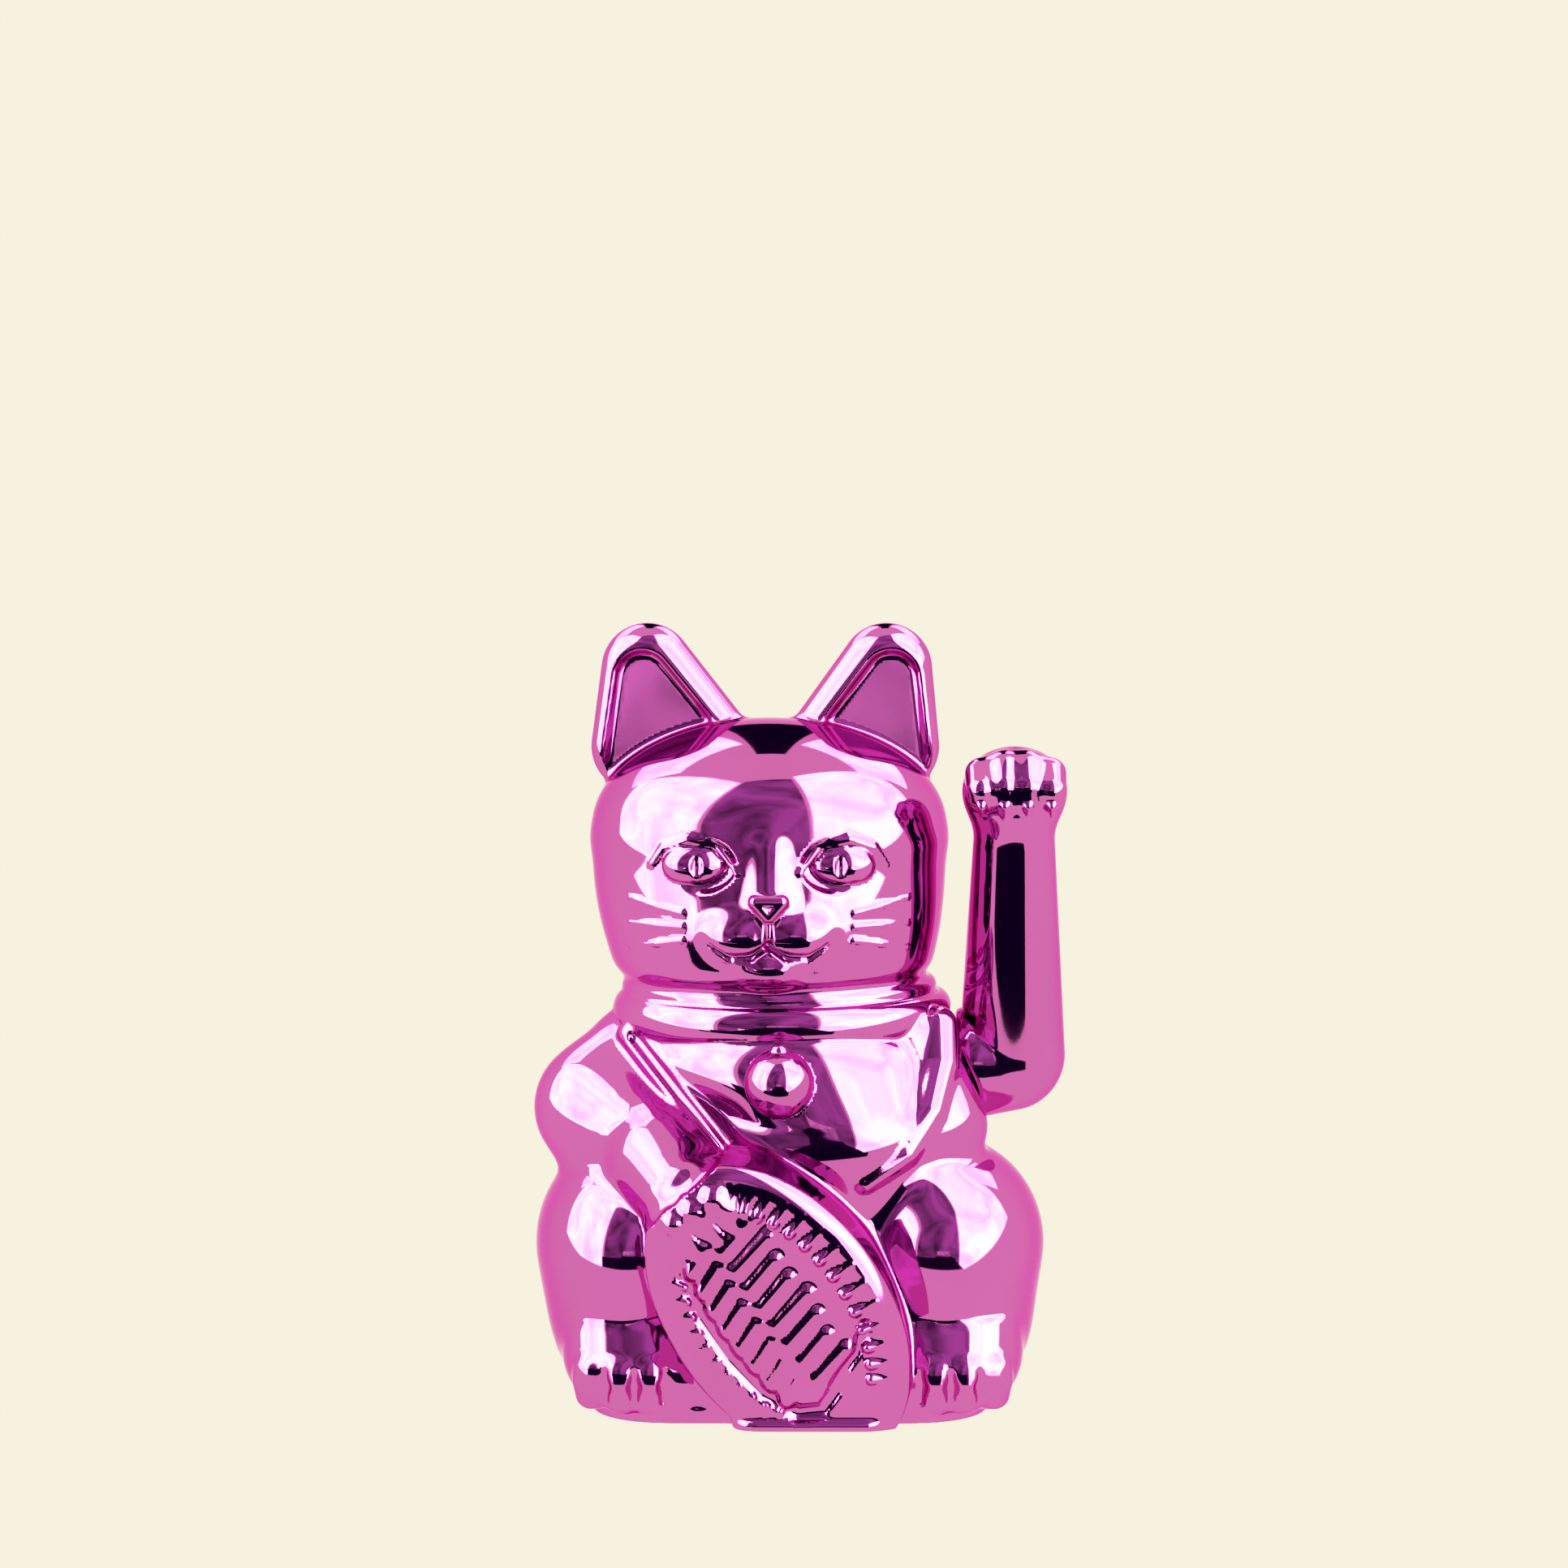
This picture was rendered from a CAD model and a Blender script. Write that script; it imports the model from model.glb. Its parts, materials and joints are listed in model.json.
import json
import math

import bpy
import numpy as np
from mathutils import Matrix, Vector


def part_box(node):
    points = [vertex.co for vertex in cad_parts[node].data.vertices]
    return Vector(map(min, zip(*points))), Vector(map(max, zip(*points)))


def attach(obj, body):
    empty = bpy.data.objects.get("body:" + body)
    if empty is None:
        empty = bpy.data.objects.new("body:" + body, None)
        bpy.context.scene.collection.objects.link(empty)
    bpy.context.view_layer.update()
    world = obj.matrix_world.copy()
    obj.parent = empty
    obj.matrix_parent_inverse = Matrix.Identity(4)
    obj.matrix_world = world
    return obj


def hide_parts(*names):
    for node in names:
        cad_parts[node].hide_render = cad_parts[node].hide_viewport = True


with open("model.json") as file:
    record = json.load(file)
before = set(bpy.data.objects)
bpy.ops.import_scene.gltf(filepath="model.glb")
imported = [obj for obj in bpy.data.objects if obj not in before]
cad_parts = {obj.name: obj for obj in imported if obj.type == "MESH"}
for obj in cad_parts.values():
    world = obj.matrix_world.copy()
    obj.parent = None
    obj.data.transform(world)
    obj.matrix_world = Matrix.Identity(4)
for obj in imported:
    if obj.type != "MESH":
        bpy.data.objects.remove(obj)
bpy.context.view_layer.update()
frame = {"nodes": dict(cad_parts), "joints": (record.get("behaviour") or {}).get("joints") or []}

MM = 0.001


def box_mm(node):
    """A CAD node's lowest and highest corner, in millimetres."""
    low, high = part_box(node)
    return np.array(low) / MM, np.array(high) / MM


def joint_mm(name):
    """A joint's place, in millimetres."""
    found = [j for j in frame["joints"] if j["name"] == name]
    return np.array(found[0]["pos_m"]) / MM


# ---- driving dimensions

SHELL_LOW, SHELL_HIGH = box_mm("front_shell")
PIVOT = joint_mm("arm_swing")
SEAM_Y = SHELL_HIGH[1]
STAND_Z = SHELL_LOW[2]
SIDES = (-1, 1)

# walls, holes and the round pocket that the arm's boss turns in
WALL = 2.0
ARM_WALL = 1.6
BOSS_X = box_mm("arm_front_shell")[0][0]
BOSS_R = 11.0
POCKET_X = BOSS_X - 1.2
POCKET_R = BOSS_R + 1.6
POCKET_REACH = 40
AXLE_HOLE_R = 3.0
HUB_HOLE_R = 1.3
HUB_R = 3.75
HUB_LENGTH = 12.6

# the base: circles (x, y, radius) that its outline goes round, and its screws (x, y)
BASE_CIRCLES = ((-24, -17, 17), (20, -17, 17), (-19, 15, 21), (15, 15, 21))
BASE_SCREWS = ((-31, -14), (-31, 11), (27, -12), (26.5, 9))
BASE_OPENING_IN = 5
BOSS_ROD_R = 3

# the trunk's middle sections, each (z, centre x, centre y, half width, half depth)
CHEST_X = -3.5
TRUNK = ((18, -2, 3.2, 40.6, 36.6), (30, -2, 5.4, 41, 35.6),
         (45, -2.3, 5.2, 38, 32.8), (60, -3, 4, 33.6, 28.2))
TRUNK_WALL = 2.2

# thighs: (centre x, half width) for each side
THIGH = {-1: (-32.6, 18.0), 1: (27.2, 19.3)}
THIGH_DEPTH = 25.6
FOOT_X = {-1: -31.0, 1: 28.0}
FOOT_Y = -14
TOE_PITCH = 5.6

# the lowered arm on the left, and the stub of shoulder on the right
SHOULDER, SHOULDER_R = (-30.5, 1, 63.5), 12
ELBOW, ELBOW_R = (-38, -5, 56.5), 12
WRIST, WRIST_R = (-21, -26, 48), 8.6
STUB_TOP, STUB_TOP_R = (20.5, -11, 70), 7.5
STUB_END, STUB_END_R = (26.5, -12, 54), 9

# head, collar and bell
HEAD_X = -6.0
HEAD_R = (34, 28)
COLLAR_Z = 74.6
BELL = (-4, -31.8, 65)
BELL_R = 6.5

# the waving forearm, built upright and then leaned forward; both paws have the same finger pitch
ARM_X = 40.4
ARM_Y = 2
ARM_FOOT_Z = 65
FOREARM_R = 10.2
ARM_LEAN = math.radians(13)
FINGER_PITCH = 4.4

# grid steps of the skins, and the boxes they are made in
CASING_STEP = 0.55
HOLLOW_STEP = 1.6
ARM_STEP = 0.45
CASING_BOX = ((-56, -48, -10), (52, 46, 152))
HOLLOW_BOX = ((-54, -44, 0), (50, 44, 148))
ARM_BOX = ((28, -18, 50), (56, 18, 134))
FAR = 200.0


# ---- distance fields

def length(v):
    return np.sqrt((v * v).sum(-1))


def ellipsoid(centre, radii):
    """A solid ellipsoid, upright; its field is close to the distance near its surface."""
    centre, radii = np.array(centre, float), np.array(radii, float)

    def field(p):
        q = (p - centre) / radii
        near = length(q)
        return near * (near - 1.0) / np.maximum(length(q / radii), 1e-9)

    return field, centre - radii, centre + radii


def limb(a, ra, b, rb):
    """A round cone: the hull of a sphere at a and a sphere at b."""
    a, b = np.array(a, float), np.array(b, float)
    ba = b - a
    l2 = ba @ ba
    rr = ra - rb
    a2 = l2 - rr * rr

    def field(p):
        pa = p - a
        y = pa @ ba
        z = y - l2
        x2 = ((pa * l2 - y[:, None] * ba) ** 2).sum(-1)
        y2 = y * y * l2
        z2 = z * z * l2
        k = np.sign(rr) * rr * rr * x2
        past_b = np.sqrt(x2 + z2) / l2 - rb
        past_a = np.sqrt(x2 + y2) / l2 - ra
        side = (np.sqrt(x2 * a2 / l2) + y * rr) / l2 - ra
        return np.where(np.sign(z) * a2 * z2 > k, past_b, np.where(np.sign(y) * a2 * y2 < k, past_a, side))

    r = max(ra, rb)
    return field, np.minimum(a, b) - r, np.maximum(a, b) + r


def joined(shapes):
    """Several shapes as one, without swelling where they meet."""
    fields, lows, highs = zip(*shapes)

    def field(p):
        return np.min([part(p) for part in fields], axis=0)

    return field, np.min(lows, axis=0), np.max(highs, axis=0)


def path(points, radii):
    """Round cones along a line of points."""
    return joined([limb(points[i], radii[i], points[i + 1], radii[i + 1]) for i in range(len(points) - 1)])


def turned(shape_field, low, high, centre, axes):
    """A field given in local coordinates, at centre, along three unit axes."""
    centre, axes = np.array(centre, float), np.array(axes, float)
    ends = list(zip(low, high))
    corners = np.array([[x, y, z] for x in ends[0] for y in ends[1] for z in ends[2]])
    world = centre + corners @ axes

    def field(p):
        return shape_field((p - centre) @ axes.T)

    return field, world.min(0), world.max(0)


def rounded_box(centre, half, r):
    """A box with rounded edges, from its middle and half sizes."""
    centre, half = np.array(centre, float), np.array(half, float)

    def field(p):
        q = np.abs(p - centre) - (half - r)
        return length(np.maximum(q, 0)) + np.minimum(q.max(-1), 0) - r

    return field, centre - half, centre + half


def ring(centre, radii, half_height, half_depth):
    """An oval strap with a round section, level, round a vertical axis."""
    centre, radii = np.array(centre, float), np.array(radii, float)

    def field(p):
        q = (p - centre)[:, :2] / radii
        near = length(q)
        out = near * (near - 1.0) / np.maximum(length(q / radii), 1e-9)
        section = np.stack([out / half_depth, (p[:, 2] - centre[2]) / half_height], -1)
        return (length(section) - 1.0) * min(half_height, half_depth)

    reach = np.array([radii[0] + half_depth, radii[1] + half_depth, half_height])
    return field, centre - reach, centre + reach


def spline(x, y, at):
    """A natural cubic spline through the points, worked out at other places."""
    x, y = np.array(x, float), np.array(y, float)
    h = np.diff(x)
    n = len(x)
    system, right = np.eye(n), np.zeros(n)
    for i in range(1, n - 1):
        system[i, i - 1:i + 2] = h[i - 1], 2 * (h[i - 1] + h[i]), h[i]
        right[i] = 6 * ((y[i + 1] - y[i]) / h[i] - (y[i] - y[i - 1]) / h[i - 1])
    bend = np.linalg.solve(system, right)
    i = np.clip(np.searchsorted(x, at) - 1, 0, n - 2)
    left, rest = at - x[i], x[i + 1] - at
    return ((bend[i] * rest ** 3 + bend[i + 1] * left ** 3) / (6 * h[i])
            + (y[i] / h[i] - bend[i] * h[i] / 6) * rest + (y[i + 1] / h[i] - bend[i + 1] * h[i] / 6) * left)


def column(levels, power=2.2, edge=0.0):
    """An upright form through level sections, each (z, centre x, centre y, half width, half depth)."""
    levels = np.array(levels, float)
    fine_z = np.linspace(levels[0, 0], levels[-1, 0], 3000)
    fine = [spline(levels[:, 0], levels[:, i], fine_z) for i in range(1, 5)]

    def field(p):
        cx, cy, rx, ry = [np.interp(p[:, 2], fine_z, f) for f in fine]
        v = np.stack([p[:, 0] - cx, p[:, 1] - cy], -1)
        near = (np.abs(v[:, 0] / rx) ** power + np.abs(v[:, 1] / ry) ** power) ** (1 / power)
        side = length(v) * (1 - 1 / np.maximum(near, 1e-3))
        q = np.stack([side, np.maximum(fine_z[0] - p[:, 2], p[:, 2] - fine_z[-1])], -1) + edge
        return length(np.maximum(q, 0)) + np.minimum(q.max(-1), 0) - edge

    reach = levels[:, 3:5].max(0)
    low = np.append(levels[:, 1:3].min(0) - reach, levels[0, 0])
    high = np.append(levels[:, 1:3].max(0) + reach, levels[-1, 0])
    return field, low, high


def hull_outline(circles, shrink=0.0, count=48):
    """The outline round some circles, anticlockwise."""
    turn = np.linspace(0, 2 * np.pi, count, endpoint=False)
    unit = np.stack([np.cos(turn), np.sin(turn)], -1)
    points = np.concatenate([np.array([x, y]) + (r - shrink) * unit for x, y, r in circles])
    points = points[np.lexsort((points[:, 1], points[:, 0]))]

    def half(sequence):
        chain = []
        for p in sequence:
            while len(chain) > 1 and np.cross(chain[-1] - chain[-2], p - chain[-1]) <= 1e-9:
                chain.pop()
            chain.append(p)
        return chain[:-1]

    return np.array(half(points) + half(points[::-1]))


def slab(outline, z0, z1, r):
    """A flat plate with that outline and rounded edges."""
    edge = np.roll(outline, -1, 0) - outline
    normal = np.stack([edge[:, 1], -edge[:, 0]], -1) / length(edge)[:, None]
    offset = (normal * outline).sum(1)

    def field(p):
        across = (p[:, :2] @ normal.T - offset).max(1) + r
        up = np.abs(p[:, 2] - (z0 + z1) / 2) - (z1 - z0) / 2 + r
        q = np.stack([across, up], -1)
        return length(np.maximum(q, 0)) + np.minimum(q.max(-1), 0) - r

    return field, np.append(outline.min(0), z0), np.append(outline.max(0), z1)


def cylinder_x(x0, x1, y, z, r):
    """A rod along x."""
    def field(p):
        radial = np.hypot(p[:, 1] - y, p[:, 2] - z) - r
        along = np.abs(p[:, 0] - (x0 + x1) / 2) - (x1 - x0) / 2
        q = np.stack([radial, along], -1)
        return length(np.maximum(q, 0)) + np.minimum(q.max(-1), 0)

    return field, np.array([x0, y - r, z - r]), np.array([x1, y + r, z + r])


def ear_plate(corners, y, r, flat):
    """A rounded triangle in the x-z plane, flattened along y."""
    pts = [np.array(c, float) for c in corners]

    def field(p):
        q = p[:, [0, 2]]
        best = np.full(len(q), np.inf)
        inside = np.ones(len(q), bool)
        for i in range(3):
            a, b = pts[i], pts[(i + 1) % 3]
            e = b - a
            w = q - a
            t = np.clip((w @ e) / (e @ e), 0, 1)
            best = np.minimum(best, ((w - t[:, None] * e) ** 2).sum(-1))
            inside &= (e[0] * w[:, 1] - e[1] * w[:, 0]) >= 0
        flat_d = np.where(inside, 0.0, np.sqrt(best))
        return (np.hypot(flat_d, (p[:, 1] - y) / flat) - r) * flat ** 0.5

    xs = [c[0] for c in corners]
    zs = [c[1] for c in corners]
    low = np.array([min(xs) - r, y - r * flat, min(zs) - r])
    high = np.array([max(xs) + r, y + r * flat, max(zs) + r])
    return field, low, high


def smooth_min(a, b, k):
    """The lower of two fields, rounded over a width k where they meet."""
    h = np.maximum(k - np.abs(a - b), 0.0) / k
    return np.minimum(a, b) - h * h * k / 4.0


class Form:
    """Shapes added to and cut from each other in order, each blended over its own width."""

    def __init__(self):
        self.steps = []

    def add(self, shape, k=0.6):
        self.steps.append((shape, k, False))

    def cut(self, shape, k=0.6):
        self.steps.append((shape, k, True))

    def __call__(self, p):
        d = np.full(len(p), 1e3)
        low, high = p.min(0), p.max(0)
        for (field, shape_low, shape_high), k, is_cut in self.steps:
            margin = k + 4.0
            if (low > shape_high + margin).any() or (high < shape_low - margin).any():
                continue
            near = ((p > shape_low - margin) & (p < shape_high + margin)).all(1)
            if not near.any():
                continue
            value = field(p[near])
            d[near] = -smooth_min(-d[near], value, k) if is_cut else smooth_min(d[near], value, k)
        return d


def in_chunks(form, p, size=60000):
    """A form at many points, a part at a time to spare memory."""
    return np.concatenate([form(p[i:i + size]) for i in range(0, len(p), size)])


TETRAHEDRON = np.array([[1, -1, -1], [-1, -1, 1], [-1, 1, -1], [1, 1, 1]], float)


def gradient(form, p, h=0.02):
    """A form's slope from four points round each place."""
    total = np.zeros_like(p)
    for corner in TETRAHEDRON:
        total += corner * in_chunks(form, p + corner * h)[:, None]
    return total / (4.0 * h)


def ear_recess(corners, r, floor_y):
    """A rounded triangle in the x-z plane, open towards -y, with a flat floor."""
    plate_field, low, high = ear_plate(corners, floor_y, r, 1.0)

    def field(p):
        flat = p.copy()
        flat[:, 1] = floor_y
        return -smooth_min(-plate_field(flat), floor_y - p[:, 1], 1.6)

    return field, low - [0, 20, 0], high


def front_y(form, x, z, start=-60.0, reach=60.0):
    """Where a line from the front, level and straight back, first meets the form."""
    y = np.linspace(start, start + reach, 1200)
    line = np.stack([np.full_like(y, x), y, np.full_like(y, z)], -1)
    inside = np.nonzero(np.concatenate([form(part) for part in np.array_split(line, 12)]) < 0)[0]
    assert len(inside) > 0, (x, z)
    return y[inside[0]]


def on_front(form, points, sink=0.0):
    """Points (x, z) put on the form's front, each a little below its surface."""
    depths = np.broadcast_to(sink, len(points))
    return [(x, front_y(form, x, z) + depth, z) for (x, z), depth in zip(points, depths)]


# ---- skinning a field (dual marching cubes)

CORNERS = np.array([[x, y, z] for x in (0, 1) for y in (0, 1) for z in (0, 1)])
EDGES = [(a, b) for a in range(8) for b in range(a + 1, 8) if np.abs(CORNERS[a] - CORNERS[b]).sum() == 1]


def edge_groups():
    """For each of the 256 corner patterns, the group of each crossed edge, or -1.
    Inside corners that face each other across a face stay apart."""
    table = np.full((256, 12), -1)
    faces = [[i for i in range(8) if CORNERS[i][axis] == side] for axis in range(3) for side in (0, 1)]
    for pattern in range(256):
        inside = [(pattern >> i) & 1 for i in range(8)]
        crossed = [e for e, (a, b) in enumerate(EDGES) if inside[a] != inside[b]]
        parent = {e: e for e in crossed}

        def root(e):
            while parent[e] != e:
                e = parent[e]
            return e

        for face in faces:
            on_face = [e for e in crossed if EDGES[e][0] in face and EDGES[e][1] in face]
            if len(on_face) == 2:
                parent[root(on_face[0])] = root(on_face[1])
            if len(on_face) == 4:
                for corner in face:
                    if inside[corner]:
                        pair = [e for e in on_face if corner in EDGES[e]]
                        parent[root(pair[0])] = root(pair[1])
        roots = sorted({root(e) for e in crossed})
        for e in crossed:
            table[pattern, e] = roots.index(root(e))
    return table


EDGE_GROUPS = edge_groups()
BLOCK = 4


def active_blocks(form, low, high, step):
    """Lowest cell index of each block of cells that the surface may pass through."""
    size = step * BLOCK
    count = np.ceil((high - low) / size).astype(int)
    index = np.stack(np.meshgrid(*[np.arange(n) for n in count], indexing="ij"), -1).reshape(-1, 3)
    d = in_chunks(form, low + (index + 0.5) * size)
    return index[np.abs(d) < size * 1.6] * BLOCK


def skin(form, low, high, step):
    """Vertices on the field's zero surface and the quads between them."""
    low, high = np.array(low, float), np.array(high, float)
    blocks = active_blocks(form, low, high, step)
    offsets = np.stack(np.meshgrid(*[np.arange(BLOCK + 1)] * 3, indexing="ij"), -1).reshape(-1, 3)
    grid = (blocks[:, None, :] + offsets[None]).reshape(-1, 3)
    values = in_chunks(form, low + grid * step).reshape(-1, BLOCK + 1, BLOCK + 1, BLOCK + 1)
    corner_values = np.stack([values[:, x:x + BLOCK, y:y + BLOCK, z:z + BLOCK] for x, y, z in CORNERS], -1)
    pattern = ((corner_values < 0) << np.arange(8)).sum(-1)
    where = np.argwhere((pattern > 0) & (pattern < 255))
    cells = blocks[where[:, 0]] + where[:, 1:]
    corner_values = corner_values[tuple(where.T)]
    pattern = pattern[tuple(where.T)]

    groups = EDGE_GROUPS[pattern]
    first = np.concatenate([[0], np.cumsum(groups.max(1) + 1)])[:-1]
    total = int(first[-1] + groups[-1].max() + 1)
    vertices = np.zeros((total, 3))
    hits = np.zeros(total)
    for e, (a, b) in enumerate(EDGES):
        on = groups[:, e] >= 0
        va, vb = corner_values[on, a], corner_values[on, b]
        t = (va / (va - vb))[:, None]
        point = cells[on] + CORNERS[a] + t * (CORNERS[b] - CORNERS[a])
        owner = first[on] + groups[on, e]
        np.add.at(vertices, owner, point)
        np.add.at(hits, owner, 1)
    vertices = low + vertices / hits[:, None] * step

    span = int(cells.max()) + 2
    keys = (cells[:, 0] * span + cells[:, 1]) * span + cells[:, 2]
    order = np.argsort(keys)
    sorted_keys = keys[order]
    quads = []
    along = np.eye(3, dtype=int)
    edge_of = {pair: n for n, pair in enumerate(EDGES)}
    corner_id = {tuple(c): i for i, c in enumerate(CORNERS)}
    for axis in range(3):
        u, v = (axis + 1) % 3, (axis + 2) % 3
        base_edge = edge_of[(0, corner_id[tuple(along[axis])])]
        crossed = groups[:, base_edge] >= 0
        ring_cells = []
        for du, dv in ((1, 1), (0, 1), (0, 0), (1, 0)):
            neighbour = cells[crossed] - du * along[u] - dv * along[v]
            key = (neighbour[:, 0] * span + neighbour[:, 1]) * span + neighbour[:, 2]
            found = order[np.clip(np.searchsorted(sorted_keys, key), 0, len(order) - 1)]
            assert (keys[found] == key).all()
            a = corner_id[tuple(du * along[u] + dv * along[v])]
            b = corner_id[tuple(du * along[u] + dv * along[v] + along[axis])]
            ring_cells.append(first[found] + groups[found, edge_of[(a, b)]])
        quad = np.stack(ring_cells, -1)
        outward = corner_values[crossed, 0] < 0
        quad[~outward] = quad[~outward][:, ::-1]
        quads.append(quad)
    quads = np.concatenate(quads)

    for _ in range(2):
        slope = gradient(form, vertices)
        d = in_chunks(form, vertices)
        move = slope * (d / np.maximum((slope ** 2).sum(1), 0.05))[:, None]
        far = np.maximum(length(move) / (0.5 * step), 1.0)
        vertices -= move / far[:, None]
    return vertices, quads


def mesh_object(name, vertices, faces):
    """A new object from vertices in millimetres."""
    mesh = bpy.data.meshes.new(name)
    mesh.from_pydata((vertices * MM).tolist(), [], faces.tolist())
    mesh.validate()
    obj = bpy.data.objects.new(name, mesh)
    bpy.context.scene.collection.objects.link(obj)
    return obj


# ---- the casing's form

def add_trunk(form):
    """The base's rim and the body up to the neck."""
    form.add(slab(hull_outline(BASE_CIRCLES, 2.8), STAND_Z, STAND_Z + 2.9, 0.7))
    form.add(slab(hull_outline(BASE_CIRCLES, 3.0), STAND_Z + 0.4, 10.5, 3), 0.8)
    foot = [(3.8, -2, 1, 38, 33.8), (9, -2, 1.6, 39.4, 35.6)]
    neck = [(72, CHEST_X, 1.6, 30.4, 25.8), (80, -4.4, 0.4, 27.4, 23.4)]
    form.add(column([*foot, *TRUNK, *neck]), 1.2)


def add_leg(form, side):
    """A thigh, and under it a foot with a flat instep and four soft toes."""
    x, wide = THIGH[side]
    form.add(ellipsoid((x, -7, 31), (wide, THIGH_DEPTH, 20)), 3)
    form.add(ellipsoid((x + 0.4, -5, 14), (wide - 3.4, 24.4, 13)), 9)
    foot_x = FOOT_X[side]
    sections = [(2.8, 0.8, 11, 17.2), (6, 0.4, 13, 19), (9.4, 0, 14, 19.8),
                (14, 0, 14.3, 18.5), (20.8, 0, 13.8, 15.8)]
    form.add(column([(z, foot_x - side * inward, FOOT_Y, half_width, half_depth)
                     for z, inward, half_width, half_depth in sections], 2.5, 1.6), 0.8)
    for i in range(4):
        toe_x = foot_x + (i - 1.5) * TOE_PITCH
        toe = [(toe_x, 10.6), (toe_x, 8.2), (toe_x, 5.4)]
        form.add(path(on_front(form, toe, 2.6), [2.8, 3.3, 2.9]), 1.6)
    for i in range(3):
        gap_x = foot_x + (i - 1) * TOE_PITCH
        gap = on_front(form, [(gap_x, 10.8), (gap_x, 8), (gap_x, 5)])
        form.cut(limb(gap[0], 0.3, gap[1], 0.9), 1.2)
        form.cut(limb(gap[1], 0.9, gap[2], 0.5), 1.2)


def add_arms(form):
    """The lowered arm on the left, and the short shoulder in front of the waving arm's pocket."""
    form.add(limb(STUB_TOP, STUB_TOP_R, STUB_END, STUB_END_R), 3)
    form.add(limb(SHOULDER, SHOULDER_R, ELBOW, ELBOW_R), 5)
    form.add(limb(ELBOW, ELBOW_R, WRIST, WRIST_R), 4)


def add_bib(form):
    """The full bib, a ribbon down its right edge and a grooved one down its left."""
    form.add(ellipsoid((-2.5, -2, 66), (29.5, 27.4, 15)), 1)
    form.add(ellipsoid((6, -17, 53.5), (19, 14.4, 10.5)), 12)
    right = [(25.8, 73), (26, 66), (24, 58), (19.5, 51), (12, 45.6)]
    form.add(path(on_front(form, right, (2.9, 2.7, 2.2, 1.6, 0.9)), [4.0, 3.8, 3.2, 2.5, 1.6]), 0.9)

    # the left ribbon's depth is smoothed, so that it runs straight on over the forearm
    along = np.linspace(0, 1, 9)
    left = np.array(on_front(form, [(-31.5 + 18.5 * t, 71 - 20 * t) for t in along]))
    left[:, 1] = np.polyval(np.polyfit(along, left[:, 1], 2), along)
    form.add(path(left + (0, 1.6, 0), [3.2] * len(left)), 1.2)
    form.cut(path(left + (0, -1.9, 0), [1.0] * len(left)), 1.2)


def ear_corners(side, tip, outer, inner):
    """An ear's corners (x, z), anticlockwise, each given as (distance from the head's middle, z)."""
    corners = [(HEAD_X + side * far, z) for far, z in (tip, inner, outer)]
    return corners if side > 0 else corners[::-1]


def add_ear(form, side):
    """A thick rounded ear with a sunk flat floor."""
    tip, outer = (23.4, 25.4) if side < 0 else (22.4, 23.8)
    form.add(ear_plate(ear_corners(side, (tip, 139.9), (outer, 125), (11, 124)), 3.2, 8.8, 0.7), 2)
    form.cut(ear_recess(ear_corners(side, (tip + 0.8, 138.4), (outer + 1.8, 118), (7.6, 118)), 5.0, 0.6), 2)


def add_head(form):
    """The collar with its upper edge, the ears and the head."""
    form.add(ring((CHEST_X, 1, COLLAR_Z), (30.0, 26.1), 3.8, 2.6), 0.6)
    form.add(ring((CHEST_X - 0.6, 0.6, COLLAR_Z + 4.8), (28.4, 24.6), 2.0, 1.8), 0.8)
    for side in SIDES:
        add_ear(form, side)
    form.add(ellipsoid((HEAD_X, 0, 110), (*HEAD_R, 20.7)), 1.4)
    form.add(column([(78, -5.2, -0.6, 26.6, 22), (80.5, -5.3, -0.8, 28.9, 25), (85, -5.4, -0.9, 30.9, 27),
                     (92, -5.7, -0.8, 32.6, 28), (101, HEAD_X, -0.4, 33.7, 28.3),
                     (108, HEAD_X, 0, *HEAD_R), (114, HEAD_X, 0, *HEAD_R)], 2.0, 7.5), 2)


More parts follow.
